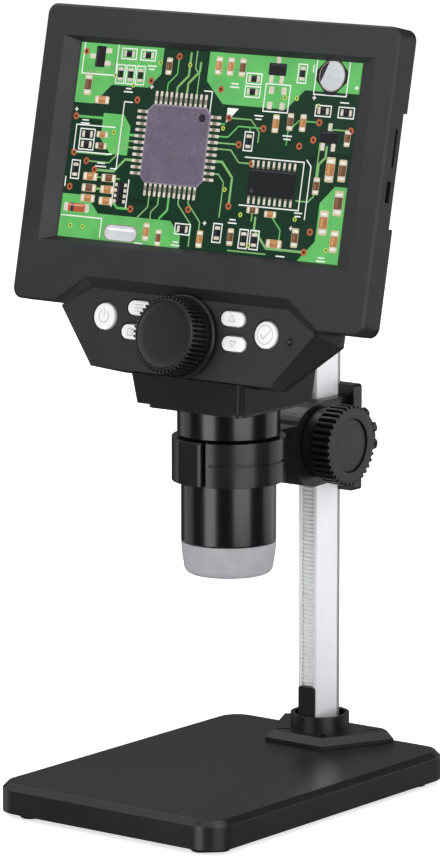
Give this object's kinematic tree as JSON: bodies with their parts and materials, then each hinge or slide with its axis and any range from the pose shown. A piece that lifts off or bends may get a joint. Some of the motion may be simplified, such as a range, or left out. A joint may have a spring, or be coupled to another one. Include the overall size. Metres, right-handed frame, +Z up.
{
  "type": "lcd digital microscope",
  "caption": "Digital microscope with a tilted screen on a rack and pinion pole: geared carriage with side knobs and a lock, swivelling head with a lens tube, fine focus knob, push buttons and a flat base.",
  "frame": {"origin": "on the table, below the middle of the overall box: under the middle of the screen width and halfway between the front edge of the base and the rearmost face (the lock knob)", "axes": "+Z up the pole, -Y towards the user who faces the screen, +X to the user's right"},
  "size_m": [0.1518, 0.1424, 0.2769],
  "materials": {
    "base_plastic": "fine satin texture",
    "steel_plate": "zinc plated",
    "screw_steel": "zinc plated",
    "foot_rubber": "matt",
    "pole_aluminium": "bright anodised",
    "rack_steel": "milled",
    "black_plastic": "satin",
    "carriage_plastic": "satin",
    "nylon": "matt",
    "bush_brass": "turned",
    "lock_plastic": "satin",
    "knob_plastic": "satin",
    "disc_plastic": "satin",
    "housing_plastic": "fine satin texture",
    "lcd_glass": "satin screen",
    "sheet_steel": "stamped",
    "board_green": "solder mask",
    "cell_foil": "foil wrapped",
    "switch_plastic": "moulded",
    "lamp_lens": "clear dark lens",
    "gloss_tube": "gloss black",
    "board_white": "solder mask",
    "led_lens": "phosphor",
    "frosted_cap": "frosted",
    "bracket_steel": "die cast",
    "dark_screw": "blackened",
    "lens_glass": "coated",
    "button_white": "satin"
  },
  "bodies": {
    "stand": {"base_plate": "base_plastic", "base_weight": "steel_plate", "weight_screws": "screw_steel", "base_feet": "foot_rubber", "pole_flange": "base_plastic", "flange_screws": "screw_steel", "pole_bolt": "screw_steel", "pole": "pole_aluminium", "rack": "rack_steel", "rack_stop": "black_plastic", "pole_cap": "black_plastic"},
    "carriage": {"carriage_block": "carriage_plastic", "carriage_back": "carriage_plastic", "slide_pads": "nylon", "carriage_screws": "screw_steel", "shaft_bushes": "bush_brass"},
    "lock": {"lock_knob": "lock_plastic", "lock_screw": "rack_steel"},
    "coarse_knobs": {"pinion_shaft": "rack_steel", "coarse_knob_right": "knob_plastic", "coarse_knob_left": "knob_plastic", "coarse_knob_discs": "disc_plastic"},
    "head": {"front_bezel": "housing_plastic", "rear_cover": "housing_plastic", "control_housing": "housing_plastic", "lcd_panel": "lcd_glass", "backlight": "sheet_steel", "main_board": "board_green", "battery": "cell_foil", "port_board": "board_green", "usb_socket": "sheet_steel", "card_socket": "sheet_steel", "keypad_board": "board_green", "key_switches": "switch_plastic", "indicator_lamp": "lamp_lens", "neck_front": "housing_plastic", "neck_body": "housing_plastic", "neck_plate": "black_plastic", "upper_tube": "gloss_tube", "lower_tube": "gloss_tube", "led_board": "board_white", "leds": "led_lens", "light_cap": "frosted_cap", "focus_bracket": "bracket_steel", "cover_screws": "dark_screw", "neck_screws": "dark_screw"},
    "focus_wheel": {"focus_knob": "knob_plastic", "focus_disc": "disc_plastic", "focus_shaft": "rack_steel"},
    "lens": {"lens_carrier": "black_plastic", "lens_glass": "lens_glass", "sensor_board": "board_green"},
    "power_button": {"power_button": "button_white"},
    "ok_button": {"ok_button": "button_white"},
    "menu_button": {"menu_button": "button_white"},
    "capture_button": {"capture_button": "button_white"},
    "up_button": {"up_button": "button_white"},
    "down_button": {"down_button": "button_white"}
  },
  "joints": [
    {"name": "carriage_slide", "type": "slide", "parent": "stand", "child": "carriage", "axis": [0, 0, 1], "range_m": [-0.065, 0.06]},
    {"name": "lock_turn", "type": "hinge", "parent": "carriage", "child": "lock", "pos_m": [0, 0.06065, 0.1209], "axis": [0, 1, 0], "range_deg": [0, 360]},
    {"name": "coarse_turn", "type": "hinge", "parent": "carriage", "child": "coarse_knobs", "pos_m": [0, 0.04026, 0.1227], "axis": [-1, 0, 0], "range_deg": [-1115, 1030]},
    {"name": "head_swivel", "type": "hinge", "parent": "carriage", "child": "head", "pos_m": [0, -0.00325, 0.1227], "axis": [0, 0, 1], "range_deg": [-75, 75]},
    {"name": "focus_turn", "type": "hinge", "parent": "head", "child": "focus_wheel", "pos_m": [0, -0.03121, 0.16835], "axis": [0, -0.9781, 0.2079], "range_deg": [-96, 96]},
    {"name": "lens_slide", "type": "slide", "parent": "head", "child": "lens", "axis": [0, 0, 1], "range_m": [-0.0057, 0.0057]},
    {"name": "power_press", "type": "slide", "parent": "head", "child": "power_button", "axis": [0, 0.9781, -0.2079], "range_m": [0, 0.0005], "stiffness_N_per_m": 900},
    {"name": "ok_press", "type": "slide", "parent": "head", "child": "ok_button", "axis": [0, 0.9781, -0.2079], "range_m": [0, 0.0005], "stiffness_N_per_m": 900},
    {"name": "menu_press", "type": "slide", "parent": "head", "child": "menu_button", "axis": [0, 0.9781, -0.2079], "range_m": [0, 0.0005], "stiffness_N_per_m": 900},
    {"name": "capture_press", "type": "slide", "parent": "head", "child": "capture_button", "axis": [0, 0.9781, -0.2079], "range_m": [0, 0.0005], "stiffness_N_per_m": 900},
    {"name": "up_press", "type": "slide", "parent": "head", "child": "up_button", "axis": [0, 0.9781, -0.2079], "range_m": [0, 0.0005], "stiffness_N_per_m": 900},
    {"name": "down_press", "type": "slide", "parent": "head", "child": "down_button", "axis": [0, 0.9781, -0.2079], "range_m": [0, 0.0005], "stiffness_N_per_m": 900}
  ],
  "couplings": [
    {"joint": "coarse_turn", "follows": "carriage_slide", "rad_per_m": 299.2},
    {"joint": "focus_turn", "follows": "lens_slide", "rad_per_m": 292.66}
  ]
}
